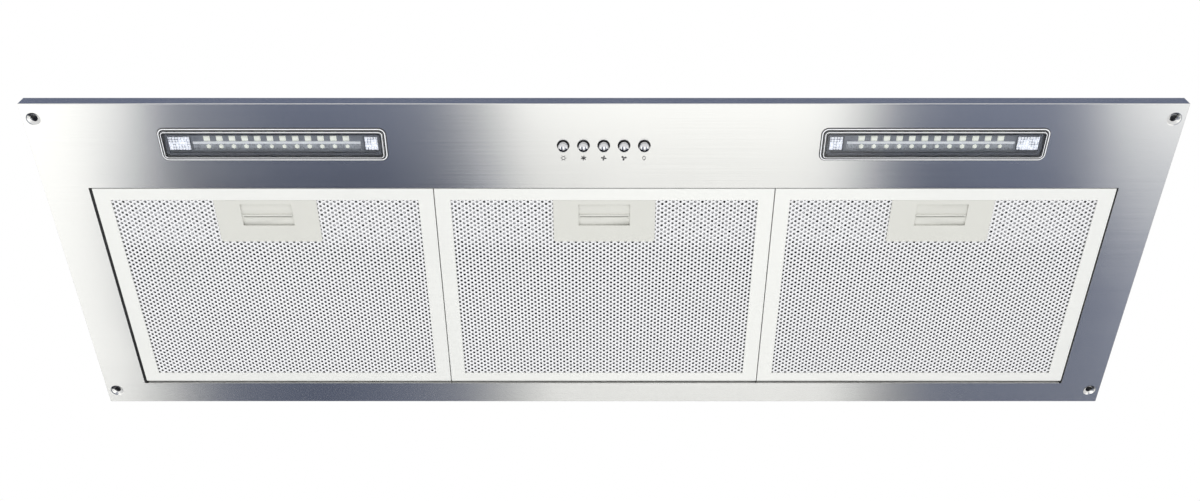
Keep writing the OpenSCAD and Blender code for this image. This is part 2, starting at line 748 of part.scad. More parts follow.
latch_spring(2);  // latch_spring_right
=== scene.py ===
import json
import math

import bmesh
import bpy
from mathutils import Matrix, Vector


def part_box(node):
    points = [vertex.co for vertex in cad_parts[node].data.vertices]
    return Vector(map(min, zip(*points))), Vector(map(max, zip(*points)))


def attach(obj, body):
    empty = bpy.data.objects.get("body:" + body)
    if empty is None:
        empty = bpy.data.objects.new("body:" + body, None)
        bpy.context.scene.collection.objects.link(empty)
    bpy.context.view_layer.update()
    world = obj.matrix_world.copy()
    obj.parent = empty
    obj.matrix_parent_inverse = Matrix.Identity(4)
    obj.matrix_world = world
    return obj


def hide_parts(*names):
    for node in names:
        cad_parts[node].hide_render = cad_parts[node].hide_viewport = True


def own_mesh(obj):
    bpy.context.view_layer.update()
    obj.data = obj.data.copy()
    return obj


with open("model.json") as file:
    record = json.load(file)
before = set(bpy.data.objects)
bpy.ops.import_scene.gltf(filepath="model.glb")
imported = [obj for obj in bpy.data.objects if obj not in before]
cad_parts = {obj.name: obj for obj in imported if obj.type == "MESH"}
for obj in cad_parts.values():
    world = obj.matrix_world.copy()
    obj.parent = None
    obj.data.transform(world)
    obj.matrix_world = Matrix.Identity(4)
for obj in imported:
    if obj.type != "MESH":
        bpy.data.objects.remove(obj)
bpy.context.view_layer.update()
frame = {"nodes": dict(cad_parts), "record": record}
mm = 0.001
sides = ("left", "centre", "right")
print("frame loaded:", len(frame["nodes"]), "nodes")


# shared helpers

def link(name, mesh):
    piece = bpy.data.objects.new(name, mesh)
    bpy.context.collection.objects.link(piece)
    return piece


def feed(tree, node, inputs):
    # inputs by label or number, each a plain value, a socket or a list of sockets
    for label, given in inputs.items():
        for value in given if isinstance(given, list) else [given]:
            if isinstance(value, bpy.types.NodeSocket):
                tree.links.new(value, node.inputs[label])
            else:
                node.inputs[label].default_value = value


def addNode(tree, kind, inputs=None, **settings):
    node = tree.nodes.new(kind)
    for label, value in settings.items():
        setattr(node, label, value)
    feed(tree, node, inputs or {})
    return node


def newMaterial(name, values):
    material = bpy.data.materials.new(name)
    material.use_nodes = True
    shader = material.node_tree.nodes["Principled BSDF"]
    feed(material.node_tree, shader, values)
    return material, material.node_tree, shader


# camera, floor and studio

studio = {
    "lens": 33.0,
    "elevation": 57.1,
    "cameraAt": (-0.0028, -0.4899, -0.735),
    "floorZ": -1.6,
    "floorColour": (0.86, 0.86, 0.85, 1),
    "worldStrength": 1.0,
    "metalShare": 0.70,
    "rimCardLevel": 0.20,
    "farCardLevel": 0.015,
}

# what the fascia mirrors from side to side: the place on the fascia in metres and the tone
# there, for the front strip and for the rear one
bands = {
    "edge": ((-0.60, 1.16), (-0.43, 1.16), (-0.385, 1.14), (-0.345, 1.0), (-0.32, 0.32),
             (-0.24, 0.205), (-0.17, 0.205), (-0.125, 0.27), (-0.09, 0.60), (-0.06, 1.14),
             (0.0, 1.18), (0.174, 1.16), (0.198, 0.58), (0.22, 0.22), (0.26, 0.21),
             (0.32, 0.23), (0.350, 0.34), (0.372, 0.98), (0.42, 1.15), (0.60, 1.15)),
    "front": ((-0.60, 0.98), (-0.43, 0.98), (-0.40, 0.90), (-0.37, 0.37), (-0.335, 0.02),
              (-0.23, 0.040), (-0.16, 0.045), (-0.115, 0.045), (-0.085, 0.16), (-0.055, 0.45),
              (0.0, 0.54), (0.16, 0.63), (0.19, 0.40), (0.215, 0.10), (0.26, 0.065),
              (0.32, 0.10), (0.37, 0.09), (0.40, 0.14), (0.44, 0.30), (0.60, 0.50)),
    "rear": ((-0.60, 1.50), (-0.43, 1.50), (-0.405, 1.34), (-0.37, 0.68), (-0.33, 0.27),
             (-0.24, 0.155), (-0.17, 0.23), (-0.12, 0.32), (-0.085, 0.60), (-0.04, 1.10),
             (0.02, 1.28), (0.195, 1.26), (0.225, 0.82), (0.255, 0.45), (0.29, 0.28),
             (0.34, 0.25), (0.38, 0.26), (0.42, 0.26), (0.46, 0.26), (0.60, 0.30)),
    "rows": ((-0.30, "edge", 1.0), (0.58, "edge", 1.0), (0.82, "front", 1.0),
             (1.12, "front", 1.0), (1.42, "rear", 1.0), (1.75, "rear", 1.0)),
    "darkTint": (0.76, 0.91, 1.40),
    "brightTint": (1.0, 1.0, 0.965),
}


def makeCamera():
    data = bpy.data.cameras.new("hoodCamera")
    data.lens = studio["lens"]
    data.sensor_width = 36
    data.clip_start = 0.02
    data.clip_end = 60
    camera = link("hoodCamera", data)
    camera.location = studio["cameraAt"]
    camera.rotation_euler = (math.radians(90 + studio["elevation"]), 0, 0)
    bpy.context.scene.camera = camera


def makeWorld():
    world = bpy.data.worlds.new("whiteStudio")
    world.use_nodes = True
    background = world.node_tree.nodes["Background"]
    background.inputs["Color"].default_value = (1, 1, 1, 1)
    background.inputs["Strength"].default_value = studio["worldStrength"]
    bpy.context.scene.world = world
    bpy.context.scene.view_settings.view_transform = "Standard"
    bpy.context.scene.view_settings.look = "None"


def areaLight(name, at, target, size, power):
    data = bpy.data.lights.new(name, "AREA")
    data.shape = "RECTANGLE"
    data.size, data.size_y = size
    data.energy = power
    light = link(name, data)
    light.location = at
    light.rotation_euler = (Vector(target) - Vector(at)).to_track_quat("-Z", "Y").to_euler()
    light.visible_glossy = False


def mirroredCard(name, verts, faces, colours):
    # a card that only mirror-like rays meet
    mesh = bpy.data.meshes.new(name)
    mesh.from_pydata(verts, [], faces)
    tones = mesh.color_attributes.new("tone", "FLOAT_COLOR", "POINT")
    for i, colour in enumerate(colours):
        tones.data[i].color = (*colour, 1)
    card = link(name, mesh)
    material, tree, shader = newMaterial(name, {
        "Base Color": (0, 0, 0, 1), "Specular IOR Level": 0, "Emission Strength": 1})
    tone = addNode(tree, "ShaderNodeVertexColor", layer_name="tone")
    feed(tree, shader, {"Emission Color": tone.outputs["Color"]})
    mesh.materials.append(material)
    for seen in ("camera", "diffuse", "transmission", "volume_scatter", "shadow"):
        setattr(card, "visible_" + seen, False)


def toned(level):
    share = min(1, max(0, (level - 0.15) / 0.5))
    return [level * ((1 - share) * d + share * b)
            for d, b in zip(bands["darkTint"], bands["brightTint"])]


def makeCards():
    floorZ = studio["floorZ"] + 0.01
    eyeZ = -studio["cameraAt"][2]
    reach = (eyeZ - floorZ) / eyeZ
    verts, colours, faces = [], [], []
    width = len(bands["edge"])
    for y, strip, gain in bands["rows"]:
        for x, level in bands[strip]:
            verts.append((x * reach, y, floorZ))
            colours.append(toned(min(1.65, gain * level / studio["metalShare"])))
    for row in range(len(bands["rows"]) - 1):
        for i in range(width - 1):
            a = row * width + i
            faces.append((a, a + 1, a + width + 1, a + width))
    mirroredCard("bandCard", verts, faces, colours)
    near = [(x, y, 0.9) for x, y in ((-2.4, -0.22), (2.4, -0.22), (2.4, -1.3), (-2.4, -1.3))]
    mirroredCard("rimCard", near, [(0, 1, 2, 3)], [toned(studio["rimCardLevel"])] * 4)
    far = [(x, y, z) for y, z in ((1.76, floorZ), (3.0, floorZ), (3.0, 0.6)) for x in (-4, 4)]
    mirroredCard("farCard", far, [(0, 1, 3, 2), (2, 3, 5, 4)],
                 [toned(studio["farCardLevel"])] * 6)


# shader groups

def newGroup(name, inputs, outputs):
    group = bpy.data.node_groups.new(name, "ShaderNodeTree")
    for label, kind, value in inputs:
        socket = group.interface.new_socket(label, in_out="INPUT", socket_type=kind)
        socket.default_value = value
    for label, kind in outputs:
        group.interface.new_socket(label, in_out="OUTPUT", socket_type=kind)
    start = group.nodes.new("NodeGroupInput")
    end = group.nodes.new("NodeGroupOutput")
    return group, start, end


def grainGroup():
    # fine grain, soft blotches and the bump they give, all in the object's own space
    group, start, end = newGroup(
        "grainAndBlotches",
        [("Grain Size", "NodeSocketVector", (900, 900, 900)),
         ("Blotch Size", "NodeSocketFloat", 12.0),
         ("Bump", "NodeSocketFloat", 0.1),
         ("Depth", "NodeSocketFloat", 0.0002)],
        [("Grain", "NodeSocketFloat"), ("Blotch", "NodeSocketFloat"),
         ("Normal", "NodeSocketVector")])
    ins = start.outputs
    place = addNode(group, "ShaderNodeTexCoord").outputs["Object"]
    scaled = addNode(group, "ShaderNodeVectorMath", {0: place, 1: ins["Grain Size"]},
                     operation="MULTIPLY")
    grain = addNode(group, "ShaderNodeTexNoise", {
        "Vector": scaled.outputs[0], "Scale": 1, "Detail": 3})
    blotch = addNode(group, "ShaderNodeTexNoise", {
        "Vector": place, "Scale": ins["Blotch Size"], "Detail": 4})
    bump = addNode(group, "ShaderNodeBump", {
        "Strength": ins["Bump"], "Distance": ins["Depth"], "Height": grain.outputs["Fac"]})
    feed(group, end, {"Grain": grain.outputs["Fac"], "Blotch": blotch.outputs["Fac"],
                      "Normal": bump.outputs["Normal"]})
    return group


grainTree = grainGroup()


# Each finish: two colours that the grain mixes, roughness from and to, the sizes of grain and
# blotch, and shader values that hold all over
finishes = {
    "brushedStainless": {
        "colours": ((0.64, 0.64, 0.64), (0.80, 0.80, 0.80)), "rough": (0.15, 0.23),
        "grain": (6, 2600, 2600), "blotch": 7, "bump": 0.05, "metal": 1.0,
        "slot": "brushed_stainless",
        "plain": {"Anisotropic": 0.85, "Anisotropic Rotation": 0.25}, "tangent": True},
    "galvanisedSheet": {
        "colours": ((0.52, 0.54, 0.56), (0.68, 0.70, 0.72)), "rough": (0.34, 0.52),
        "grain": 120, "blotch": 22, "bump": 0.06, "metal": 0.9, "slot": "galvanised_sheet"},
    "zincPlate": {
        "colours": ((0.62, 0.63, 0.62), (0.78, 0.79, 0.80)), "rough": (0.22, 0.38),
        "grain": 900, "blotch": 160, "bump": 0.05, "metal": 1.0, "slot": "zinc_plate"},
    "springSteel": {
        "colours": ((0.30, 0.31, 0.33), (0.46, 0.47, 0.49)), "rough": (0.25, 0.40),
        "grain": 700, "blotch": 120, "bump": 0.05, "metal": 1.0, "slot": "spring_steel"},
    "shaftSteel": {
        "colours": ((0.55, 0.56, 0.57), (0.70, 0.71, 0.72)), "rough": (0.18, 0.30),
        "grain": (900, 90, 90), "blotch": 90, "bump": 0.04, "metal": 1.0, "slot": "shaft_steel"},
    "frameAlloy": {
        "colours": ((0.88, 0.885, 0.86), (0.93, 0.935, 0.915)), "rough": (0.36, 0.50),
        "grain": (60, 900, 900), "blotch": 14, "bump": 0.04, "metal": 0.15,
        "slot": "filter_frame_alloy"},
    "sheetAlloy": {
        "colours": ((0.93, 0.935, 0.965), (0.98, 0.98, 1.0)), "rough": (0.36, 0.50),
        "grain": 300, "blotch": 9, "bump": 0.05, "metal": 0.05, "slot": "filter_mesh_alloy"},
    # near black metal: painted shade for the dark inside of the filter seen through the holes
    "meshAlloyPaintedShade": {
        "colours": ((0.06, 0.06, 0.075), (0.19, 0.19, 0.225)), "rough": (0.34, 0.50),
        "grain": 300, "blotch": 16, "bump": 0.08, "metal": 0.8, "slot": "filter_mesh_alloy"},
    "latchPlastic": {
        "colours": ((0.70, 0.70, 0.655), (0.75, 0.75, 0.71)), "rough": (0.42, 0.55),
        "grain": 1500, "blotch": 30, "bump": 0.12, "slot": "latch_plastic"},
    "buttonChrome": {
        "colours": ((0.64, 0.64, 0.66), (0.74, 0.74, 0.76)), "rough": (0.015, 0.035),
        "grain": 700, "blotch": 200, "bump": 0.02, "metal": 1.0, "slot": "button_chrome"},
    "blackPlastic": {
        "colours": ((0.012, 0.012, 0.013), (0.03, 0.03, 0.032)), "rough": (0.40, 0.58),
        "grain": 1200, "blotch": 60, "bump": 0.12, "slot": "black_plastic"},
    "greyPlastic": {
        "colours": ((0.20, 0.205, 0.21), (0.26, 0.265, 0.27)), "rough": (0.42, 0.60),
        "grain": 1200, "blotch": 40, "bump": 0.12, "slot": "grey_plastic"},
    "whitePlastic": {
        "colours": ((0.74, 0.74, 0.71), (0.80, 0.80, 0.78)), "rough": (0.35, 0.50),
        "grain": 1200, "blotch": 30, "bump": 0.10, "slot": "lamp_white_plastic"},
    "scrollPlastic": {
        "colours": ((0.58, 0.59, 0.58), (0.66, 0.67, 0.66)), "rough": (0.40, 0.55),
        "grain": 900, "blotch": 20, "bump": 0.10, "slot": "scroll_plastic"},
    "motorEnamel": {
        "colours": ((0.02, 0.02, 0.022), (0.05, 0.05, 0.055)), "rough": (0.28, 0.45),
        "grain": 500, "blotch": 50, "bump": 0.15, "slot": "motor_enamel"},
    "capacitorCase": {
        "colours": ((0.76, 0.76, 0.74), (0.82, 0.82, 0.80)), "rough": (0.20, 0.32),
        "grain": 600, "blotch": 60, "bump": 0.05, "slot": "capacitor_case"},
    "wireSheath": {
        "colours": ((0.015, 0.015, 0.016), (0.03, 0.03, 0.032)), "rough": (0.35, 0.50),
        "grain": 900, "blotch": 90, "bump": 0.08, "slot": "wire_sheath"},
    "boardMask": {
        "colours": ((0.27, 0.29, 0.33), (0.36, 0.38, 0.43)), "rough": (0.28, 0.42),
        "grain": 900, "blotch": 90, "bump": 0.06, "slot": "lamp_board"},
    # LED packages, and the glint pieces beside them; on the glint pieces the glow is a painted
    # highlight
    "ledAndPaintedGlint": {
        "colours": ((0.86, 0.88, 0.76), (0.93, 0.94, 0.84)), "rough": (0.20, 0.35),
        "grain": 2000, "blotch": 300, "bump": 0.04, "slot": "lamp_led",
        "plain": {"Emission Strength": 0.5}},
    "reflectorTray": {
        "colours": ((0.22, 0.24, 0.28), (0.74, 0.76, 0.80)), "rough": (0.22, 0.34),
        "grain": (1100, 500, 500), "blotch": 260, "bump": 0.25, "metal": 0.2, "slot": "lamp_board"},
    # white with a slight glow: the glow paints the highlights on the lens edges and the sheen of
    # the bar
    "paintedHighlightWhite": {
        "colours": ((0.86, 0.87, 0.90), (0.95, 0.96, 0.98)), "rough": (0.12, 0.22),
        "grain": 300, "blotch": 60, "bump": 0.03, "slot": "lamp_lens",
        "plain": {"Emission Strength": 0.25}},
    # white prisms with a glow: the glow paints the light the lens prisms catch
    "prismWhitePaintedGlow": {
        "colours": ((0.72, 0.74, 0.80), (0.92, 0.93, 0.96)), "rough": (0.10, 0.22),
        "grain": 500, "blotch": 200, "bump": 0.10, "slot": "lamp_white_plastic",
        "plain": {"Emission Strength": 0.62}},
    "bezelSlate": {
        "colours": ((0.085, 0.095, 0.12), (0.12, 0.13, 0.16)), "rough": (0.30, 0.42),
        "grain": 900, "blotch": 60, "bump": 0.05, "slot": "lamp_board"},
    "printInk": {
        "colours": ((0.04, 0.04, 0.045), (0.08, 0.08, 0.085)), "rough": (0.50, 0.65),
        "grain": 1500, "blotch": 400, "bump": 0.03, "slot": "black_plastic"},
}
materials = {}


def grainNode(tree, size, blotch, bump):
    return addNode(tree, "ShaderNodeGroup", {
        "Grain Size": size if isinstance(size, tuple) else (size,) * 3,
        "Blotch Size": blotch, "Bump": bump}, node_tree=grainTree)


def finish(name):
    if name in materials:
        return materials[name]
    values = finishes[name]
    plain = {"Metallic": values.get("metal", 0.0), **values.get("plain", {})}
    material, tree, shader = newMaterial(name, plain)
    grain = grainNode(tree, values["grain"], values["blotch"], values["bump"])
    halfBlotch = addNode(tree, "ShaderNodeMath", {0: grain.outputs["Blotch"], 1: 0.5},
                         operation="MULTIPLY")
    both = addNode(tree, "ShaderNodeMath", {
        0: grain.outputs["Grain"], 1: 0.5, 2: halfBlotch.outputs[0]}, operation="MULTIPLY_ADD")
    dark, light = values["colours"]
    shades = addNode(tree, "ShaderNodeMix", {
        "Factor": both.outputs[0], "A": (*dark, 1), "B": (*light, 1)}, data_type="RGBA")
    smooth, rough = values["rough"]
    spread = addNode(tree, "ShaderNodeMapRange", {
        "Value": both.outputs[0], "From Min": 0.3, "From Max": 0.7,
        "To Min": smooth, "To Max": rough})
    feed(tree, shader, {"Base Color": shades.outputs["Result"],
                        "Roughness": spread.outputs["Result"], "Normal": grain.outputs["Normal"]})
    if "Emission Strength" in plain:
        feed(tree, shader, {"Emission Color": shades.outputs["Result"]})
    if values.get("tangent"):
        tangent = addNode(tree, "ShaderNodeTangent", direction_type="UV_MAP", uv_map="grainWay")
        feed(tree, shader, {"Tangent": tangent.outputs["Tangent"]})
    materials[name] = material
    return material


def clearLens():
    material, tree, shader = newMaterial("clearLens", {"Transmission Weight": 1.0, "IOR": 1.47})
    grain = grainNode(tree, 80, 25, 0.03)
    tint = addNode(tree, "ShaderNodeMix", {
        "Factor": grain.outputs["Blotch"], "A": (0.86, 0.88, 0.92, 1),
        "B": (0.96, 0.97, 0.98, 1)}, data_type="RGBA")
    rough = addNode(tree, "ShaderNodeMapRange", {
        "Value": grain.outputs["Grain"], "To Min": 0.02, "To Max": 0.08})
    feed(tree, shader, {"Base Color": tint.outputs["Result"],
                        "Roughness": rough.outputs["Result"], "Normal": grain.outputs["Normal"]})
    return material


# making and placing pieces

bodyOf = {node: body for body, members in frame["record"]["behaviour"]["bodies"].items()
          for node in members}


def applyModifiers(piece):
    evaluated = piece.evaluated_get(bpy.context.evaluated_depsgraph_get())
    mesh = bpy.data.meshes.new_from_object(evaluated)
    piece.modifiers.clear()
    piece.data = mesh
    return mesh


def smoothByAngle(mesh, degrees):
    mesh.polygons.foreach_set("use_smooth", [True] * len(mesh.polygons))
    mesh.set_sharp_from_angle(angle=math.radians(degrees))


def meshPiece(name, shape, smooth=None, outward=True):
    # a bmesh handed over as a linked piece
    if outward:
        bmesh.ops.recalc_face_normals(shape, faces=shape.faces)
    mesh = bpy.data.meshes.new(name)
    shape.to_mesh(mesh)
    shape.free()
    if smooth:
        smoothByAngle(mesh, smooth)
    return link(name, mesh)


def joinRings(shape, first, second):
    for i in range(len(first)):
        j = (i + 1) % len(first)
        shape.faces.new((first[i], first[j], second[j], second[i]))


def grainMap(mesh):
    # a flat map whose U runs along the brushing
    layer = mesh.uv_layers.new(name="grainWay")
    for face in mesh.polygons:
        for index in face.loop_indices:
            place = mesh.vertices[mesh.loops[index].vertex_index].co
            along = place.y if abs(face.normal.x) > 0.7 else place.x
            across = place.y if abs(face.normal.z) > 0.7 else place.z
            layer.data[index].uv = (along, across)


def dress(piece, look, body, *stoodFor):
    if not piece.data.materials:
        piece.data.materials.append(finish(look))
    if finishes.get(look, {}).get("tangent"):
        grainMap(piece.data)
    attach(piece, body)
    if stoodFor:
        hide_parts(*stoodFor)
    return piece


def bmeshOf(node):
    mesh = bmesh.new()
    mesh.from_mesh(frame["nodes"][node].data)
    bmesh.ops.remove_doubles(mesh, verts=mesh.verts, dist=1e-6)
    bmesh.ops.dissolve_limit(
        mesh, angle_limit=math.radians(0.5), verts=mesh.verts, edges=mesh.edges)
    return mesh


def softened(node, look, width=0.3, segments=2, wide=None, wideShare=4.0, limit=40):
    # the CAD node's own shape with its edges eased. Edges picked by wide get a larger round.
    source = bmeshOf(node)
    layer = source.edges.layers.float.new("bevel_weight_edge")
    for edge in source.edges:
        if len(edge.link_faces) == 2 and edge.calc_face_angle(0) > math.radians(limit):
            ends = [v.co for v in edge.verts]
            edge[layer] = 1.0 if wide and wide(*ends) else 1.0 / wideShare
    for face in source.faces:
        face.smooth = True
    piece = meshPiece("soft_" + node, source, outward=False)
    bevel = piece.modifiers.new("easedEdges", "BEVEL")
    bevel.limit_method = "WEIGHT"
    bevel.width = width * wideShare * mm
    bevel.segments = segments
    bevel.use_clamp_overlap = True
    level = piece.modifiers.new("flatFaces", "WEIGHTED_NORMAL")
    level.weight = 100
    level.keep_sharp = True
    applyModifiers(piece)
    return dress(piece, look, bodyOf[node], node)


def keepNode(node, look):
    # a CAD node whose own shape is right
    piece = frame["nodes"][node]
    piece.data.materials.clear()
    piece.data.materials.append(finish(look))


# fascia

fasciaValues = {"bendRadius": 1.3, "easedEdge": 0.22}


def makeFascia():
    low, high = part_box("fascia_panel")

    def outerBend(a, b):
        atRim = all(min(p.x - low.x, high.x - p.x, p.y - low.y, high.y - p.y) < 1e-5
                    for p in (a, b))
        return atRim and (max(a.z, b.z) < 1e-5 or abs(a.z - b.z) > 0.005)

    eased = fasciaValues["easedEdge"]
    softened("fascia_panel", "brushedStainless", eased, 3, outerBend,
             fasciaValues["bendRadius"] / eased)
    print("fascia done")


# geometry nodes helpers

def newTree(name, inputs):
    # every tree also gets a place and a finish, which close() gives to its result
    tree = bpy.data.node_groups.new(name, "GeometryNodeTree")
    for label, kind, value in [*inputs, ("Centre", "NodeSocketVector", (0, 0, 0)),
                               ("Finish", "NodeSocketMaterial", None)]:
        socket = tree.interface.new_socket(label, in_out="INPUT", socket_type=kind)
        if value is not None:
            socket.default_value = value
    tree.interface.new_socket("Geometry", in_out="OUTPUT", socket_type="NodeSocketGeometry")
    ins = tree.nodes.new("NodeGroupInput").outputs
    end = tree.nodes.new("NodeGroupOutput")

    def add(kind, values=None, **settings):
        return addNode(tree, kind, values, **settings)

    def calc(operation, *values):
        return add("ShaderNodeMath", dict(enumerate(values)), operation=operation).outputs[0]

    def close(geometry):
        real = add("GeometryNodeRealizeInstances", {"Geometry": geometry})
        move = add("GeometryNodeTransform", {
            "Geometry": real.outputs["Geometry"], "Translation": ins["Centre"]})
        paint = add("GeometryNodeSetMaterial", {
            "Geometry": move.outputs["Geometry"], "Material": ins["Finish"]})
        feed(tree, end, {"Geometry": paint.outputs["Geometry"]})
        return tree

    return ins, add, calc, close


def runTree(name, tree, values):
    piece = link(name, bpy.data.meshes.new(name))
    modifier = piece.modifiers.new(tree.name, "NODES")
    modifier.node_group = tree
    for item in tree.interface.items_tree:
        if item.item_type == "SOCKET" and item.in_out == "INPUT" and item.name in values:
            modifier[item.identifier] = values[item.name]
    mesh = applyModifiers(piece)
    mesh.name = name
    return piece


# perforated filter sheets

perforation = {
    "columnPitch": 2.82,
    "holePitch": 3.89,
    "holeRadius": 1.20,
    "thickness": 0.6,
    "innerPitchShare": 1.6,
    "edge": 1.3,
}


def perforatedTree():
    # Bricks with a six-sided hole, in columns that are staggered by half a brick. The cell is a
    # ring of six faces, and the free edges of the joined field are drawn up into walls.
    ins, add, calc, close = newTree("perforatedSheet", [
        ("Cell Width", "NodeSocketFloat", 0.003), ("Cell Depth", "NodeSocketFloat", 0.004),
        ("Hole Radius", "NodeSocketFloat", 0.001), ("Thickness", "NodeSocketFloat", 0.0006),
        ("Columns", "NodeSocketInt", 10), ("Rows", "NodeSocketInt", 10),
        ("Cut Half Width", "NodeSocketFloat", 0.04), ("Cut Depth", "NodeSocketFloat", 0.04)])
    weldDistance = 0.00002
    halfWidth = calc("MULTIPLY", ins["Cell Width"], 0.5)
    halfDepth = calc("MULTIPLY", ins["Cell Depth"], 0.5)
    circle = add("GeometryNodeMeshCircle", {"Vertices": 6, "Radius": ins["Hole Radius"]})
    grow = add("GeometryNodeExtrudeMesh", {"Mesh": circle.outputs["Mesh"], "Offset Scale": 0},
               mode="EDGES")
    spot = add("ShaderNodeSeparateXYZ", {0: add("GeometryNodeInputPosition").outputs[0]}).outputs
    reach = add("ShaderNodeCombineXYZ", {
        "X": calc("MULTIPLY", calc("SIGN", spot["X"]), halfWidth),
        "Y": calc("MULTIPLY", calc("SIGN", calc("SNAP", spot["Y"], 0.0001)), halfDepth)})
    cell = add("GeometryNodeSetPosition", {
        "Geometry": grow.outputs["Mesh"], "Selection": grow.outputs["Top"],
        "Position": reach.outputs[0]})

    fieldDepth = calc("MULTIPLY", calc("SUBTRACT", ins["Rows"], 1), ins["Cell Depth"])
    grid = add("GeometryNodeMeshGrid", {
        "Size X": calc("MULTIPLY", calc("SUBTRACT", ins["Columns"], 1), ins["Cell Width"]),
        "Size Y": fieldDepth, "Vertices X": ins["Columns"], "Vertices Y": ins["Rows"]})
    number = add("GeometryNodeInputIndex").outputs[0]
    odd = calc("MODULO", calc("FLOOR", calc("DIVIDE", number, ins["Rows"])), 2)
    shift = add("ShaderNodeCombineXYZ", {"Y": calc("MULTIPLY", odd, halfDepth)})
    stagger = add("GeometryNodeSetPosition", {
        "Geometry": grid.outputs["Mesh"], "Offset": shift.outputs[0]})

    # no cells where the latch stands: measured from the grid's own front edge
    where = add("ShaderNodeSeparateXYZ", {0: add("GeometryNodeInputPosition").outputs[0]}).outputs
    fromFront = calc("ADD", where["Y"], calc("MULTIPLY", fieldDepth, 0.5))
    inside = calc("MULTIPLY",
                  calc("LESS_THAN", calc("ABSOLUTE", where["X"]), ins["Cut Half Width"]),
                  calc("LESS_THAN", fromFront, ins["Cut Depth"]))
    clear = add("GeometryNodeDeleteGeometry", {
        "Geometry": stagger.outputs["Geometry"], "Selection": inside}, domain="POINT")
    spread = add("GeometryNodeInstanceOnPoints", {
        "Points": clear.outputs["Geometry"], "Instance": cell.outputs["Geometry"]})
    solid = add("GeometryNodeRealizeInstances", {"Geometry": spread.outputs["Instances"]})
    weld = add("GeometryNodeMergeByDistance", {
        "Geometry": solid.outputs["Geometry"], "Distance": weldDistance}).outputs["Geometry"]

    rise = add("ShaderNodeCombineXYZ", {"Z": ins["Thickness"]}).outputs[0]
    free = add("FunctionNodeCompare", {
        2: add("GeometryNodeInputMeshEdgeNeighbors").outputs[0], 3: 1},
        data_type="INT", operation="EQUAL")
    walls = add("GeometryNodeExtrudeMesh", {
        "Mesh": weld, "Selection": free.outputs[0], "Offset": rise, "Offset Scale": 1},
        mode="EDGES")
    back = add("GeometryNodeTransform", {"Geometry": weld, "Translation": rise})
    both = add("GeometryNodeJoinGeometry", {0: [walls.outputs["Mesh"], back.outputs["Geometry"]]})
    sheet = add("GeometryNodeMergeByDistance", {
        "Geometry": both.outputs["Geometry"], "Distance": weldDistance})
    return close(sheet.outputs["Geometry"])


def recalculated(mesh):
    shape = bmesh.new()
    shape.from_mesh(mesh)
    bmesh.ops.recalc_face_normals(shape, faces=shape.faces)
    shape.to_mesh(mesh)
    shape.free()


def makePerforatedSheets():
    tree = perforatedTree()
    for side in sides:
        low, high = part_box("filter_mesh_" + side)
        plateLow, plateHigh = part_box("latch_plate_" + side)
        body = side + "_filter"
        edge = perforation["edge"] * mm
        for layer, share in (("face", 1.0), ("back", perforation["innerPitchShare"])):
            width = perforation["columnPitch"] * share * mm
            depth = perforation["holePitch"] * share * mm
            columns = int((high.x - low.x - edge) / width)
            rows = int((high.y - low.y - edge - depth / 2) / depth)
            thick = perforation["thickness"] * mm
            middle = (low + high) / 2
            gridFront = middle.y - (rows - 0.5) * depth / 2 + depth / 4
            z = low.z + 0.00002 if layer == "face" else high.z - thick - 0.00002
            piece = runTree("perforated_%s_%s" % (layer, side), tree, {
                "Cell Width": width, "Cell Depth": depth,
                "Hole Radius": perforation["holeRadius"] * share * mm, "Thickness": thick,
                "Columns": columns, "Rows": rows,
                "Centre": (middle.x, middle.y - depth / 4, z),
                "Cut Half Width": (plateHigh.x - plateLow.x) / 2 - width * 0.6,
                "Cut Depth": plateHigh.y - gridFront - depth * 0.8 if layer == "face" else 0.0,
                "Finish": finish("sheetAlloy")})
            recalculated(piece.data)
            stoodFor = ("filter_mesh_" + side,) if layer == "face" else ()
            dress(piece, "sheetAlloy", body, *stoodFor)
            print(piece.name, len(piece.data.polygons), "faces")


# the stretched metal between the sheets, coloured near black as painted shade inside the filter

meshLayers = {"cellWidth": 7.0, "cellDepth": 3.2, "strand": 0.9, "tilt": 0.5, "layers": 2}


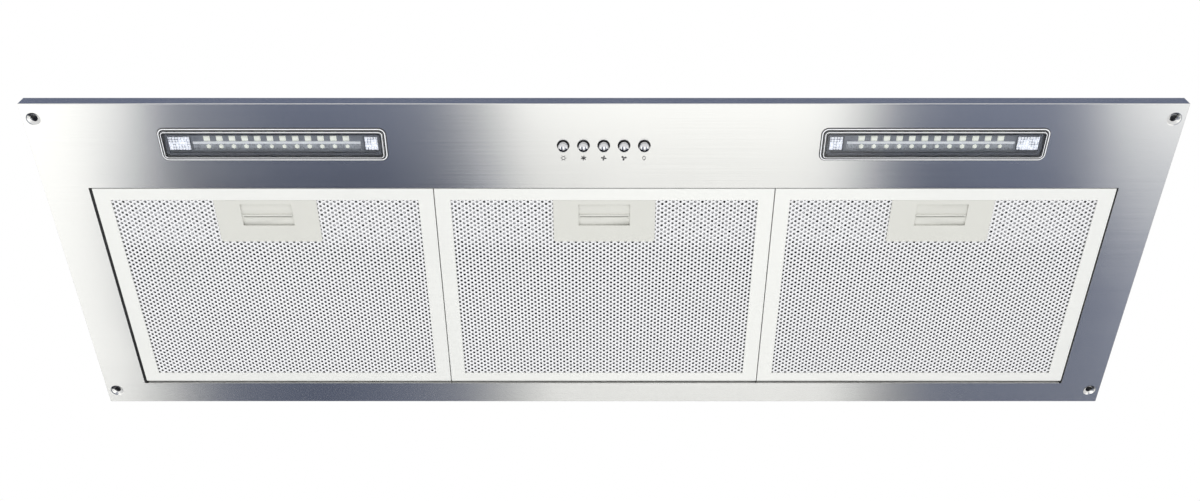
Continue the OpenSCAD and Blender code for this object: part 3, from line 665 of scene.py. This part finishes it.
def stretchedTree():
    # zigzag ribbons side by side: a grid of thin tilted strands makes each diamond
    ins, add, calc, close = newTree("stretchedMetal", [
        ("Cell Width", "NodeSocketFloat", 0.007), ("Cell Depth", "NodeSocketFloat", 0.003),
        ("Strand", "NodeSocketFloat", 0.0009), ("Tilt", "NodeSocketFloat", 0.5),
        ("Columns", "NodeSocketInt", 10), ("Rows", "NodeSocketInt", 10)])
    ribbon = add("GeometryNodeMeshGrid", {
        "Size X": calc("MULTIPLY", ins["Columns"], calc("MULTIPLY", ins["Cell Width"], 0.5)),
        "Size Y": ins["Strand"], "Vertices X": calc("ADD", ins["Columns"], 1), "Vertices Y": 2})
    number = add("GeometryNodeInputIndex").outputs[0]
    spot = add("ShaderNodeSeparateXYZ", {0: add("GeometryNodeInputPosition").outputs[0]})
    step = calc("MODULO", calc("FLOOR", calc("DIVIDE", number, 2)), 2)
    swing = add("ShaderNodeCombineXYZ", {
        "Y": calc("MULTIPLY", calc("SUBTRACT", step, 0.5),
                  calc("MULTIPLY", ins["Cell Depth"], 0.82)),
        "Z": calc("MULTIPLY", spot.outputs["Y"], ins["Tilt"])})
    zigzag = add("GeometryNodeSetPosition", {
        "Geometry": ribbon.outputs["Mesh"], "Offset": swing.outputs[0]})
    fieldDepth = calc("MULTIPLY", calc("SUBTRACT", ins["Rows"], 1), ins["Cell Depth"])
    along = add("ShaderNodeCombineXYZ", {"Y": ins["Cell Depth"]})
    begin = add("ShaderNodeCombineXYZ", {"Y": calc("MULTIPLY", fieldDepth, -0.5)})
    line = add("GeometryNodeMeshLine", {
        "Count": ins["Rows"], "Start Location": begin.outputs[0], "Offset": along.outputs[0]},
        mode="OFFSET")
    flip = calc("SUBTRACT", 1, calc("MULTIPLY", calc("MODULO", number, 2), 2))
    turn = add("ShaderNodeCombineXYZ", {"X": flip, "Y": 1, "Z": 1})
    rows = add("GeometryNodeInstanceOnPoints", {
        "Points": line.outputs["Mesh"], "Instance": zigzag.outputs["Geometry"],
        "Scale": turn.outputs[0]})
    return close(rows.outputs["Instances"])


def makeMeshLayers():
    tree = stretchedTree()
    width, depth = meshLayers["cellWidth"] * mm, meshLayers["cellDepth"] * mm
    for side in sides:
        low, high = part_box("filter_mesh_" + side)
        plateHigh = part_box("latch_plate_" + side)[1]
        middle = (low + high) / 2
        front = plateHigh.y + 0.0005
        for layer in range(meshLayers["layers"]):
            columns = int((high.x - low.x - 0.004) / (width / 2)) // 2 * 2
            rows = int((high.y - front - 0.006) / depth)
            piece = runTree("stretched_%d_%s" % (layer + 1, side), tree, {
                "Cell Width": width, "Cell Depth": depth,
                "Strand": meshLayers["strand"] * mm,
                "Tilt": meshLayers["tilt"] * (1 - 2 * layer),
                "Columns": columns, "Rows": rows,
                "Centre": (middle.x + layer * width * 0.2, (front + high.y) / 2 + layer * 0.0007,
                           low.z + (2.6 + 1.5 * layer) * mm),
                "Finish": finish("meshAlloyPaintedShade")})
            thicken = piece.modifiers.new("strandThickness", "SOLIDIFY")
            thicken.thickness = 0.00025
            applyModifiers(piece)
            dress(piece, "meshAlloyPaintedShade", side + "_filter")
    print("mesh layers done")


# rows and fields of small tapered shapes, such as LEDs and lens prisms

def taperedGridTree():
    ins, add, calc, close = newTree("taperedGrid", [
        ("Sides", "NodeSocketInt", 4), ("Base Radius", "NodeSocketFloat", 0.001),
        ("Tip Radius", "NodeSocketFloat", 0.0005), ("Height", "NodeSocketFloat", 0.001),
        ("Turn", "NodeSocketVector", (0, 0, 0)), ("Stretch", "NodeSocketVector", (1, 1, 1)),
        ("Columns", "NodeSocketInt", 2), ("Rows", "NodeSocketInt", 2),
        ("Column Pitch", "NodeSocketFloat", 0.01), ("Row Pitch", "NodeSocketFloat", 0.01),
        ("Unevenness", "NodeSocketFloat", 0.0), ("Seed", "NodeSocketInt", 1)])
    cone = add("GeometryNodeMeshCone", {
        "Vertices": ins["Sides"], "Radius Bottom": ins["Base Radius"],
        "Radius Top": ins["Tip Radius"], "Depth": ins["Height"]})
    pose = add("GeometryNodeTransform", {"Geometry": cone.outputs["Mesh"], "Rotation": ins["Turn"]})
    size = add("GeometryNodeTransform", {
        "Geometry": pose.outputs["Geometry"], "Scale": ins["Stretch"]})
    grid = add("GeometryNodeMeshGrid", {
        "Size X": calc("MULTIPLY", calc("SUBTRACT", ins["Columns"], 1), ins["Column Pitch"]),
        "Size Y": calc("MULTIPLY", calc("SUBTRACT", ins["Rows"], 1), ins["Row Pitch"]),
        "Vertices X": ins["Columns"], "Vertices Y": ins["Rows"]})
    vary = add("FunctionNodeRandomValue", {
        2: calc("SUBTRACT", 1, ins["Unevenness"]), 3: calc("ADD", 1, ins["Unevenness"]),
        "Seed": ins["Seed"]}, data_type="FLOAT")
    spread = add("GeometryNodeInstanceOnPoints", {
        "Points": grid.outputs["Mesh"], "Instance": size.outputs["Geometry"],
        "Scale": vary.outputs[1]})
    return close(spread.outputs["Instances"])


# lamps

lampValues = {
    "crownInset": 2.6, "crownDrop": 2.0, "grooveWidth": 0.9, "flangeDrop": 0.8,
    "cornerRadius": 5.0, "cornerPoints": 6,
    "ledSize": (4.8, 4.2), "glintSize": (4.2, 4.2), "ledPitch": 9.5, "ledShift": 1.8,
    "rowOffset": 3.4, "ledCount": 12, "prismPitch": 2.2, "prismShare": 0.93,
    "outerBlock": 17.6, "innerBlock": 13.2, "blockDepth": 12.8, "barDepth": 1.8, "trayDepth": 6.4,
    "bezelOuter": (161.0, 17.6, 2.0), "bezelDepth": 14.7, "bezelLength": 157.0,
}
# beads that outline a lamp: how far in from the lens edge, radius, height and finish. The black
# beads are painted shade in the gap round the lens and in its groove; the white ones glow as
# painted highlights on its edges
lampLines = {
    "shadowGapBead": (-0.15, 0.34, -0.02, "blackPlastic"),
    "edgeHighlightBead": (0.60, 0.36, -0.72, "paintedHighlightWhite"),
    "seam": (1.60, 0.40, -0.78, "blackPlastic"),
    "crownHighlightBead": (2.75, 0.27, -1.72, "paintedHighlightWhite"),
}


def roundedLoop(width, depth, radius, z, points):
    loop = []
    for quarter in range(4):
        signX = 1 if quarter in (0, 3) else -1
        signY = 1 if quarter in (0, 1) else -1
        for i in range(points + 1):
            angle = math.radians(90 * quarter + 90 * i / points)
            loop.append(Vector((signX * (width / 2 - radius) + radius * math.cos(angle),
                                signY * (depth / 2 - radius) + radius * math.sin(angle), z)))
    return loop


def loftedShell(name, at, profile, points, closed=False):
    # profile: (width, depth, radius, z) rings in mm, closed on itself or with a face at each end
    shape = bmesh.new()
    rings = []
    for width, depth, radius, z in profile:
        loop = roundedLoop(width * mm, depth * mm, radius * mm, z * mm, points)
        rings.append([shape.verts.new(p + at) for p in loop])
    for first, second in zip(rings, rings[1:] + (rings[:1] if closed else [])):
        joinRings(shape, first, second)
    if not closed:
        shape.faces.new(list(reversed(rings[0])))
        shape.faces.new(rings[-1])
    return meshPiece(name, shape, 30)


def tubeLoop(name, path, radius, sides=8):
    # a round bead along a closed path
    shape = bmesh.new()
    up = Vector((0, 0, 1))
    angles = [2 * math.pi * k / sides for k in range(sides)]
    rings = []
    for i, place in enumerate(path):
        way = (path[(i + 1) % len(path)] - path[i - 1]).normalized()
        out = way.cross(up).normalized()
        rings.append([shape.verts.new(place + radius * (math.cos(a) * out + math.sin(a) * up))
                      for a in angles])
    for first, second in zip(rings, rings[1:] + rings[:1]):
        joinRings(shape, first, second)
    return meshPiece(name, shape, 60)


def slab(name, low, high, width=0.2, segments=2):
    # a block with rounded edges, low and high in metres
    shape = bmesh.new()
    bmesh.ops.create_cube(shape, size=1)
    for vert in shape.verts:
        vert.co = Vector([(l + h) / 2 + c * (h - l) for c, l, h in zip(vert.co, low, high)])
    bmesh.ops.bevel(shape, geom=shape.edges[:], offset=width * mm, segments=segments,
                    profile=0.5, affect="EDGES", clamp_overlap=True)
    return meshPiece(name, shape, 30, outward=False)


def lampInside(side, at):
    # a row of LEDs and a row of glowing glint pieces that paint highlights, the white bar between
    # them whose slight glow paints its sheen, and the prism blocks at the ends
    tree = bpy.data.node_groups.get("taperedGrid") or taperedGridTree()
    v = lampValues
    boardLow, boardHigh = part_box("lamp_board_" + side)
    outward = -1 if side == "left" else 1
    ledZ = boardLow.z + 0.00005
    rowX = at.x - outward * v["ledShift"] * mm
    width, depth = v["ledSize"]
    rows = {
        "leds_" + side: {
            "Sides": 4, "Base Radius": 0.7071 * mm, "Tip Radius": 0.55 * mm, "Height": 1.1 * mm,
            "Turn": (math.pi, 0, math.pi / 4), "Stretch": (width, depth, 1.0),
            "Columns": v["ledCount"], "Rows": 1, "Column Pitch": v["ledPitch"] * mm,
            "Row Pitch": 0.0, "Centre": (rowX, at.y - v["rowOffset"] * mm, ledZ),
            "Finish": finish("ledAndPaintedGlint")},
        # glowing pieces that paint the glints in the row beside the LEDs
        "glints_" + side: {
            "Sides": 6, "Base Radius": 0.50 * mm, "Tip Radius": 0.22 * mm, "Height": 1.3 * mm,
            "Turn": (math.pi, 0, math.pi / 2), "Stretch": (*v["glintSize"], 1.0),
            "Columns": v["ledCount"], "Rows": 1, "Column Pitch": v["ledPitch"] * mm,
            "Row Pitch": 0.0, "Centre": (rowX + 0.5 * mm, at.y + v["rowOffset"] * mm, ledZ),
            "Unevenness": 0.08, "Seed": 3, "Finish": finish("ledAndPaintedGlint")},
    }
    for end, length in ((outward, v["outerBlock"]), (-outward, v["innerBlock"])):
        outer = (boardHigh.x - boardLow.x) / 2 - 0.6 * mm
        middle = at.x + end * (outer - length * mm / 2)
        low = Vector((middle - length * mm / 2, at.y - v["blockDepth"] * mm / 2, 0.0022))
        high = Vector((middle + length * mm / 2, at.y + v["blockDepth"] * mm / 2, boardLow.z))
        label = "%s_%s" % ("outer" if end == outward else "inner", side)
        dress(slab("block_" + label, low, high, 0.4), "bezelSlate", "hood_body")
        rows["prisms_" + label] = {
            "Sides": 4, "Base Radius": v["prismPitch"] * v["prismShare"] * 0.7071 * mm,
            "Tip Radius": v["prismPitch"] * 0.4 * mm, "Height": 0.9 * mm,
            "Turn": (math.pi, 0, math.pi / 4), "Stretch": (1.0, 1.0, 1.0),
            "Columns": int(length / v["prismPitch"]),
            "Rows": int(v["blockDepth"] / v["prismPitch"]),
            "Column Pitch": v["prismPitch"] * mm, "Row Pitch": v["prismPitch"] * mm,
            "Centre": (middle, at.y, low.z + 0.0001), "Unevenness": 0.18,
            "Seed": 5 + end, "Finish": finish("prismWhitePaintedGlow")}
    for name, values in rows.items():
        piece = runTree(name, tree, values)
        recalculated(piece.data)
        stoodFor = ("lamp_leds_" + side,) if name.startswith("leds") else ()
        dress(piece, "prismWhitePaintedGlow" if "prisms" in name else "ledAndPaintedGlint", "hood_body", *stoodFor)
    half = (v["ledCount"] * v["ledPitch"] / 2 + 6) * mm
    # the bar's slight glow is painted sheen
    bar = slab("bar_" + side, (rowX - half, at.y - v["barDepth"] * mm / 2, boardLow.z - 0.0012),
               (rowX + half, at.y + v["barDepth"] * mm / 2, boardLow.z), 0.3)
    dress(bar, "paintedHighlightWhite", "hood_body")
    tray = slab("tray_" + side, (rowX - half, at.y + v["barDepth"] * mm / 2, boardLow.z - 0.0003),
                (rowX + half, at.y + v["trayDepth"] * mm, boardLow.z), 0.1)
    dress(tray, "reflectorTray", "hood_body")


def makeBezel(side, at):
    # the dark plate round the LED window, inside the lens
    outer, low, high = lampValues["bezelOuter"], 0.1, 0.9
    length, depth = lampValues["bezelLength"], lampValues["bezelDepth"]
    lip = (length - 0.5, depth - 0.5, 1.0)
    profile = [(*outer, high), (*outer, low), (length, depth, 1.2, low), (*lip, 0.4), (*lip, high)]
    dress(loftedShell("bezel_" + side, at, profile, 4, True), "bezelSlate", "hood_body")


def makeLamps():
    glass = clearLens()
    for side in ("left", "right"):
        low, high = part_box("lamp_lens_" + side)
        middle = (low + high) / 2
        at = Vector((middle.x, middle.y, 0))
        w, d = (high.x - low.x) / mm, (high.y - low.y) / mm
        top = high.z / mm
        r = lampValues["cornerRadius"]
        inset = lampValues["crownInset"]
        groove = lampValues["grooveWidth"]
        drop = lampValues["flangeDrop"]
        crown = lampValues["crownDrop"]
        profile = [(w - less, d - less, radius, z) for less, radius, z in (
            (9, r - 3, -0.9), (9, r - 3, top), (5.4, r - 2.6, top), (5.4, r - 2.6, 0.02),
            (0.3, r, 0.02), (0, r, -0.15), (0, r, -drop + 0.25), (0.5, r, -drop),
            (2 * inset - 2 * groove, r - inset + groove, -drop),
            (2 * inset - groove, r - inset + groove / 2, -0.25),
            (2 * inset, r - inset, -drop), (2 * inset + 0.3, r - inset, -crown + 0.3),
            (2 * inset + 1.0, r - inset - 0.3, -crown))]
        piece = loftedShell("lens_" + side, at, profile, lampValues["cornerPoints"])
        piece.data.materials.append(glass)
        dress(piece, "clearLens", "hood_body", "lamp_lens_" + side)
        softened("lamp_housing_" + side, "greyPlastic", 0.3)
        keepNode("lamp_board_" + side, "boardMask")
        lampInside(side, at)
        for label, (inside, radius, z, look) in lampLines.items():
            path = [p + at for p in roundedLoop(
                (w - 2 * inside) * mm, (d - 2 * inside) * mm, max(r - inside, 1) * mm, z * mm, 6)]
            dress(tubeLoop("%s_%s" % (label, side), path, radius * mm), look, "hood_body")
        makeBezel(side, at)
    print("lamps done")


# push buttons

buttonValues = {"names": ("light", "high", "medium", "low", "off"), "turnSteps": 40,
                "edgeRadius": 0.9, "domeAngle": 38}


def lathe(name, at, outline, steps):
    # outline: (radius, height) pairs in metres from one end of the axis to the other
    shape = bmesh.new()
    rings = []
    for radius, z in outline:
        turns = [2 * math.pi * k / steps for k in range(steps)] if radius > 1e-7 else [0]
        rings.append([shape.verts.new(at + Vector((radius * math.cos(a), radius * math.sin(a), z)))
                      for a in turns])
    for first, second in zip(rings, rings[1:]):
        if len(first) == len(second):
            joinRings(shape, first, second)
            continue
        for k in range(steps):
            n = (k + 1) % steps
            shape.faces.new((first[0], second[n], second[k]) if len(first) == 1
                            else (first[k], first[n], second[0]))
    return meshPiece(name, shape, 35)


def makeButtons():
    for name in buttonValues["names"]:
        low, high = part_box("button_" + name)
        at = Vector(((low.x + high.x) / 2, (low.y + high.y) / 2, 0))
        flange = (high.x - low.x) / 2
        capRadius = flange - 1.6 * mm
        corner = buttonValues["edgeRadius"] * mm
        slope = math.radians(buttonValues["domeAngle"])
        flat = capRadius - corner * (1 - math.sin(slope))
        ball = flat / math.sin(slope)
        outline = [(ball * math.sin(slope * i / 8), low.z + ball * (1 - math.cos(slope * i / 8)))
                   for i in range(9)]
        rise = outline[-1][1]
        for k in range(1, 7):
            a = slope + (math.pi / 2 - slope) * k / 6
            outline.append((flat + corner * (math.sin(a) - math.sin(slope)),
                            rise + corner * (math.cos(slope) - math.cos(a))))
        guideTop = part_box("button_guide")[1].z
        outline += [(capRadius, guideTop + 0.3 * mm), (flange, guideTop + 0.3 * mm),
                    (flange, guideTop + 1.5 * mm), (2 * mm, guideTop + 1.5 * mm),
                    (2 * mm, high.z), (0, high.z)]
        piece = lathe("cap_" + name, at, outline, buttonValues["turnSteps"])
        dress(piece, "buttonChrome", name + "_button", "button_" + name)
    print("buttons done")


# printed marks under the buttons: a lamp, three fan speeds and an off ring

markValues = {"frontGap": 10.6, "size": 1.95, "ink": 0.06,
              "blades": {"high": 6, "medium": 4, "low": 3}}


def flatShape(shape, points, z, thickness):
    bottom = [shape.verts.new((p[0], p[1], z - thickness)) for p in points]
    top = [shape.verts.new((p[0], p[1], z)) for p in points]
    shape.faces.new(list(reversed(bottom)))
    shape.faces.new(top)
    for i in range(len(points)):
        j = (i + 1) % len(points)
        shape.faces.new((bottom[i], bottom[j], top[j], top[i]))


def ringShape(shape, centre, outer, inner, z, thickness, steps=20):
    # outer and inner are half sizes along X and Y
    for i in range(steps):
        corners = []
        for k in (i, i + 1):
            angle = 2 * math.pi * k / steps
            corners.append([(centre[0] + r[0] * math.cos(angle), centre[1] + r[1] * math.sin(angle))
                            for r in (outer, inner)])
        (outerStart, innerStart), (outerEnd, innerEnd) = corners
        flatShape(shape, [outerStart, outerEnd, innerEnd, innerStart], z, thickness)


def makeMarks():
    shape = bmesh.new()
    size, ink = markValues["size"] * mm, markValues["ink"] * mm
    z = -0.00001
    for name in buttonValues["names"]:
        low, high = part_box("button_" + name)
        x, y = (low.x + high.x) / 2, (low.y + high.y) / 2 + markValues["frontGap"] * mm
        if name == "light":
            ringShape(shape, (x, y), (size * 0.8, size * 0.8), (size * 0.55, size * 0.55), z, ink)
            for turn in range(6):
                angle = math.pi * turn / 3
                ray = Vector((math.cos(angle), math.sin(angle)))
                side = Vector((-ray.y, ray.x)) * size * 0.09
                near, far = (Vector((x, y)) + ray * size * share for share in (0.95, 1.3))
                flatShape(shape, [near - side, far - side, far + side, near + side], z, ink)
        elif name == "off":
            ringShape(shape, (x, y), (size * 0.62, size * 1.0), (size * 0.38, size * 0.74), z, ink)
        else:
            blades = markValues["blades"][name]
            for blade in range(blades):
                turn = 2 * math.pi * blade / blades + math.pi / 2
                petal = []
                for k in range(10):
                    angle = 2 * math.pi * k / 10
                    along = size * (0.62 + 0.52 * math.cos(angle))
                    across = size * (1.05 / blades + 0.06) * math.sin(angle) + along * 0.18
                    petal.append((x + along * math.cos(turn) - across * math.sin(turn),
                                  y + along * math.sin(turn) + across * math.cos(turn)))
                flatShape(shape, petal, z, ink)
            ringShape(shape, (x, y), (size * 0.24, size * 0.24), (size * 0.02, size * 0.02),
                      z, ink, 10)
    dress(meshPiece("marks", shape), "printInk", "hood_body")
    print("marks done")


# latch sliders with the slot behind the finger rib

sliderValues = {"ribDepth": 1.4, "ribHalf": 19.5, "slotDepth": 1.3, "slotSide": 0.6}


def makeSliders():
    for side in sides:
        node = "latch_slider_" + side
        low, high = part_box(node)
        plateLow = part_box("latch_plate_" + side)[0]
        piece = meshPiece("slider_" + side, bmeshOf(node), outward=False)
        ribFront = min(v.co.y for v in piece.data.vertices if v.co.z < low.z + 1e-5)
        ribRear = ribFront + sliderValues["ribDepth"] * mm
        slotHalf = (sliderValues["ribHalf"] - sliderValues["slotSide"]) * mm
        middle = (low.x + high.x) / 2
        slotRear = ribRear + sliderValues["slotDepth"] * mm
        cutter = slab("slotCutter", (middle - slotHalf, ribRear, low.z),
                      (middle + slotHalf, slotRear, plateLow.z + 0.004), 0.05, 1)
        cut = piece.modifiers.new("slot", "BOOLEAN")
        cut.operation = "DIFFERENCE"
        cut.solver = "EXACT"
        cut.object = cutter
        bevel = piece.modifiers.new("easedEdges", "BEVEL")
        bevel.limit_method = "ANGLE"
        bevel.width = 0.2 * mm
        bevel.segments = 2
        level = piece.modifiers.new("flatFaces", "WEIGHTED_NORMAL")
        level.weight = 100
        applyModifiers(piece)
        for face in piece.data.polygons:
            face.use_smooth = True
        bpy.data.objects.remove(cutter)
        dress(piece, "latchPlastic", side + "_latch", node)
    print("sliders done")


# everything else keeps its CAD shape, the pieces in easedNodes with eased edges

easedNodes = {
    "galvanisedSheet": ("lower_casing", "upper_casing", "bay_partition", "duct_collar",
                        "motor_bracket", "capacitor_clip", "inlet_ring_left", "inlet_ring_right"),
    "blackPlastic": ("button_guide", "switch_body", "cable_gland", "screw_sleeves"),
    "greyPlastic": ("terminal_box", "terminal_cover", "damper_flap_front", "damper_flap_rear"),
    "whitePlastic": ("lamp_driver", "terminal_block"),
    "latchPlastic": tuple("latch_plate_" + s for s in sides),
    "motorEnamel": ("motor_body",),
    "capacitorCase": ("capacitor",),
    "scrollPlastic": ("scroll_left", "scroll_right"),
}
keptNodes = {
    "zincPlate": ("stud_nuts", "casing_screws", "blower_screws", "collar_screws"),
    "springSteel": ("latch_strikes",),
    "wireSheath": ("wiring_harness",),
    "scrollPlastic": ("impeller",),
    "shaftSteel": ("motor_shaft",),
}


def makeRest():
    for look, names in easedNodes.items():
        for node in names:
            softened(node, look, 0.25)
    for side in sides:
        softened("filter_frame_" + side, "frameAlloy", 0.10)
    for look, names in keptNodes.items():
        for node in names:
            keepNode(node, look)
    print("casing and inner pieces done")


# springs on the latches and buttons, cut from the CAD nodes; the way and the fixed end each would
# shorten along are worked out but not used

def makeSprings():
    jobs = [("latch_spring_" + s, s, s + "_latch_slide", 1) for s in sides]
    jobs += [("button_springs", name, name + "_button_press", 2) for name in buttonValues["names"]]
    hidden = set()
    for node, name, joint, axis in jobs:
        shape = bmeshOf(node)
        if axis == 2:
            low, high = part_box("button_" + name)
            far = [v for v in shape.verts if not low.x < v.co.x < high.x]
            bmesh.ops.delete(shape, geom=far, context="VERTS")
        piece = meshPiece("spring_" + name, shape, 50, outward=False)
        dress(piece, "springSteel", bodyOf[node], *([] if node in hidden else [node]))
        hidden.add(node)
        places = [v.co[axis] for v in piece.data.vertices]
        way, anchor = Vector((0, 0, 0)), piece.data.vertices[0].co.copy()
        way[axis], anchor[axis] = 1, max(places)
        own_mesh(piece)
        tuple(way)
        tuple(anchor)
    print("springs done")


# black strips on the side walls of the filter opening, painted shade for the dark gaps beside the
# filters

gapShadeValues = {"left": 1.4, "right": 0.5, "from": 1.2, "gapEnds": 1.0}


def frameWall(x, way):
    # the x of the opening's side wall that faces a filter's side
    places = [v.co.x for v in frame["nodes"]["fascia_panel"].data.vertices
              if abs(v.co.x - x) < 0.006 and (v.co.x - x) * way > 0]
    return min(places) if way > 0 else max(places)


def makeGapShadeStrips():
    first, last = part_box("filter_frame_left"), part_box("filter_frame_right")
    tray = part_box("latch_strikes")
    wallLeft = frameWall(first[0].x, -1)
    wallRight = frameWall(last[1].x, 1)
    ends = gapShadeValues["gapEnds"] * mm
    for name, x0, x1 in (("gap_shade_left", wallLeft, wallLeft + gapShadeValues["left"] * mm),
                         ("gap_shade_right", wallRight - gapShadeValues["right"] * mm, wallRight)):
        low = Vector((x0, first[0].y + ends, gapShadeValues["from"] * mm))
        high = Vector((x1, first[1].y - ends, tray[1].z))
        dress(slab(name, low, high, 0.15), "blackPlastic", "hood_body")
    print("gap shade strips done")


def makeFloor():
    mesh = bpy.data.meshes.new("floor")
    z, half = studio["floorZ"], 9
    mesh.from_pydata([(-half, -half, z), (half, -half, z), (half, half, z), (-half, half, z)],
                     [], [(0, 1, 2, 3)])
    mesh.materials.append(newMaterial("paleFloor", {
        "Base Color": studio["floorColour"], "Roughness": 0.8})[0])
    link("floor", mesh)


makeCamera()
makeWorld()
makeFloor()
makeCards()
areaLight("lowSoftbox", (0, -1.1, -1.45), (0, 0, 0), (2.4, 1.2), 6)
areaLight("topSoftbox", (-0.9, -1.2, 2.2), (0, 0, 0.1), (1.8, 1.8), 25)
makeFascia()
makePerforatedSheets()
makeMeshLayers()
makeLamps()
makeButtons()
makeMarks()
makeSliders()
makeSprings()
makeGapShadeStrips()
makeRest()
